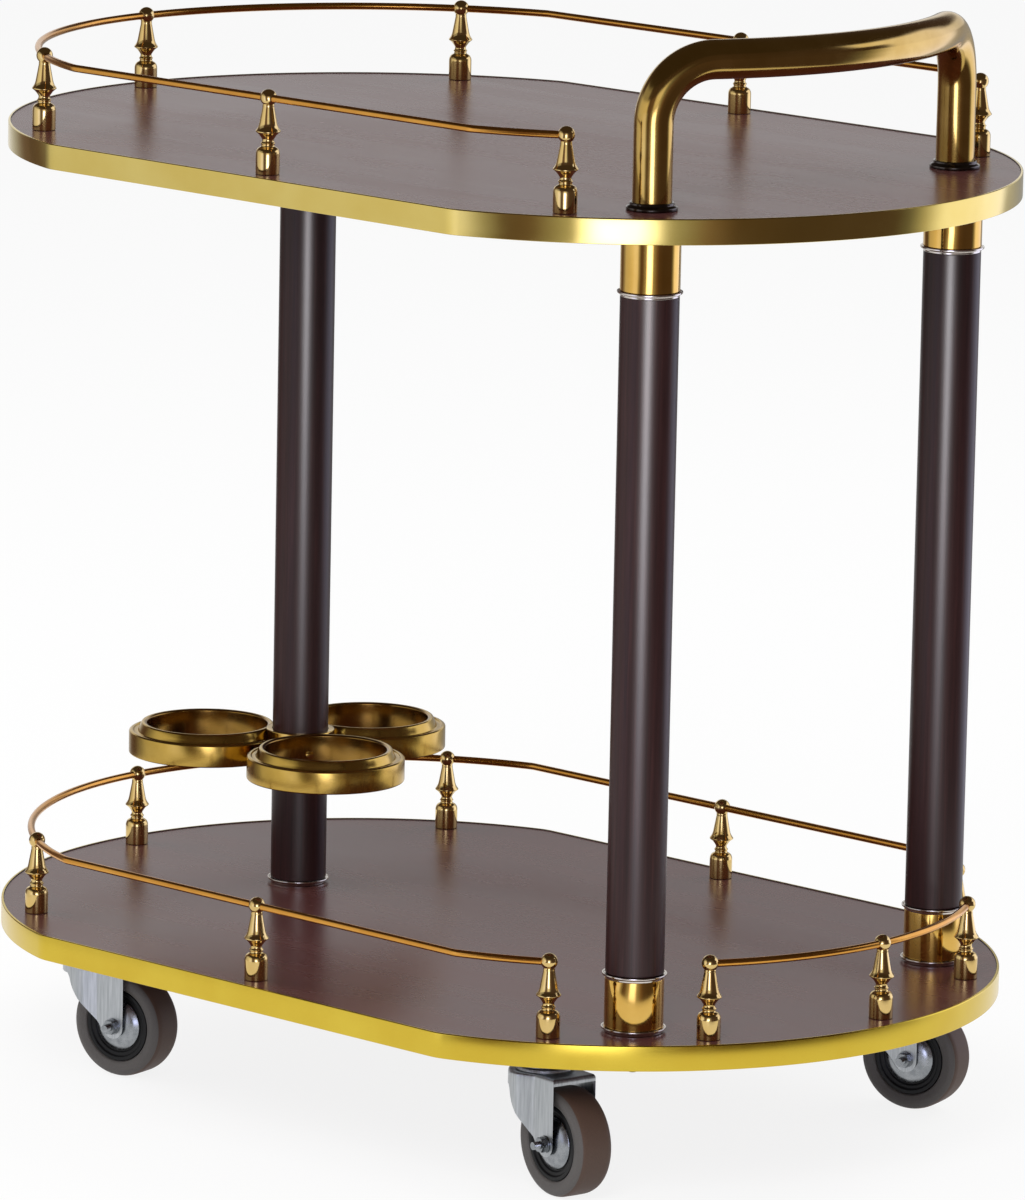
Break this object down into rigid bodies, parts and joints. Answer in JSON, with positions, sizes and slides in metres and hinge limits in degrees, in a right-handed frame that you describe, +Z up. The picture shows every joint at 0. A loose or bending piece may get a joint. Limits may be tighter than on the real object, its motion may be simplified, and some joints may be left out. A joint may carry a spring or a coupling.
{
  "type": "bar cart",
  "caption": "Oval tiered bar cart for serving drinks: railed trays on round posts, with a tubular push handle, a swivelling bottle holder and swivel casters.",
  "frame": {"origin": "on the floor, under the middle of the trays", "axes": "+X towards the push handle, +Y towards the far side, +Z up"},
  "size_m": [0.823, 0.555, 0.8453],
  "materials": {
    "board": "dark satin laminate",
    "post_wood": "dark mahogany, satin lacquer",
    "band_brass": "satin gold",
    "bright_brass": "polished, lacquered",
    "antique_brass": "polished bronze gold",
    "nickel": "polished nickel",
    "dark_nickel": "polished black nickel",
    "zinc": "bright zinc plate",
    "nylon": "moulded black nylon",
    "grey_rubber": "grey non-marking rubber"
  },
  "bodies": {
    "cart_frame": {"top_board": "board", "top_band": "band_brass", "bottom_board": "board", "bottom_band": "band_brass", "left_post": "post_wood", "near_post": "post_wood", "far_post": "post_wood", "left_top_ring": "nickel", "left_bottom_ring": "nickel", "near_top_ferrule": "bright_brass", "near_bottom_ferrule": "bright_brass", "far_top_ferrule": "bright_brass", "far_bottom_ferrule": "bright_brass", "left_tie_rod": "zinc", "near_tie_rod": "zinc", "far_tie_rod": "zinc", "handle_tube": "antique_brass", "near_handle_ring": "dark_nickel", "far_handle_ring": "dark_nickel", "top_rail": "bright_brass", "bottom_rail": "bright_brass", "front_gallery": "bright_brass", "top_spindle_near_right": "bright_brass", "top_spindle_near_middle": "bright_brass", "top_spindle_near_left": "bright_brass", "top_spindle_left": "bright_brass", "top_spindle_far_left": "bright_brass", "top_spindle_far_middle": "bright_brass", "top_spindle_far_right": "bright_brass", "bottom_spindle_near_right": "bright_brass", "bottom_spindle_near_middle": "bright_brass", "bottom_spindle_near_left": "bright_brass", "bottom_spindle_left": "bright_brass", "bottom_spindle_far_left": "bright_brass", "bottom_spindle_far_middle": "bright_brass", "bottom_spindle_far_right": "bright_brass", "near_left_caster_plate": "zinc", "near_right_caster_plate": "zinc", "far_left_caster_plate": "zinc", "far_right_caster_plate": "zinc"},
    "bottle_holder": {"holder_collar": "antique_brass", "left_bottle_ring": "antique_brass", "front_bottle_ring": "antique_brass", "back_bottle_ring": "antique_brass"},
    "near_left_caster": {"near_left_fork": "zinc", "near_left_axle": "zinc"},
    "near_left_wheel": {"near_left_rim": "nylon", "near_left_tyre": "grey_rubber"},
    "near_right_caster": {"near_right_fork": "zinc", "near_right_axle": "zinc"},
    "near_right_wheel": {"near_right_rim": "nylon", "near_right_tyre": "grey_rubber"},
    "far_left_caster": {"far_left_fork": "zinc", "far_left_axle": "zinc"},
    "far_left_wheel": {"far_left_rim": "nylon", "far_left_tyre": "grey_rubber"},
    "far_right_caster": {"far_right_fork": "zinc", "far_right_axle": "zinc"},
    "far_right_wheel": {"far_right_rim": "nylon", "far_right_tyre": "grey_rubber"}
  },
  "joints": [
    {"name": "bottle_holder_turn", "type": "hinge", "parent": "cart_frame", "child": "bottle_holder", "pos_m": [-0.21, 0, 0.2215], "axis": [0, 0, 1], "continuous": true},
    {"name": "near_left_swivel", "type": "hinge", "parent": "cart_frame", "child": "near_left_caster", "pos_m": [-0.2439, -0.1817, 0.1065], "axis": [0, 0, 1], "continuous": true},
    {"name": "near_left_roll", "type": "hinge", "parent": "near_left_caster", "child": "near_left_wheel", "pos_m": [-0.21633, -0.17684, 0.04], "axis": [-0.1736, 0.9848, 0], "continuous": true},
    {"name": "near_right_swivel", "type": "hinge", "parent": "cart_frame", "child": "near_right_caster", "pos_m": [0.2301, -0.1875, 0.1065], "axis": [0, 0, 1], "continuous": true},
    {"name": "near_right_roll", "type": "hinge", "parent": "near_right_caster", "child": "near_right_wheel", "pos_m": [0.25759, -0.19284, 0.04], "axis": [0.1908, 0.9816, 0], "continuous": true},
    {"name": "far_left_swivel", "type": "hinge", "parent": "cart_frame", "child": "far_left_caster", "pos_m": [-0.2439, 0.1817, 0.1065], "axis": [0, 0, 1], "continuous": true},
    {"name": "far_left_roll", "type": "hinge", "parent": "far_left_caster", "child": "far_left_wheel", "pos_m": [-0.21601, 0.18414, 0.04], "axis": [-0.0872, 0.9962, 0], "continuous": true},
    {"name": "far_right_swivel", "type": "hinge", "parent": "cart_frame", "child": "far_right_caster", "pos_m": [0.2301, 0.1875, 0.1065], "axis": [0, 0, 1], "continuous": true},
    {"name": "far_right_roll", "type": "hinge", "parent": "far_right_caster", "child": "far_right_wheel", "pos_m": [0.25715, 0.19475, 0.04], "axis": [-0.2588, 0.9659, 0], "continuous": true}
  ]
}
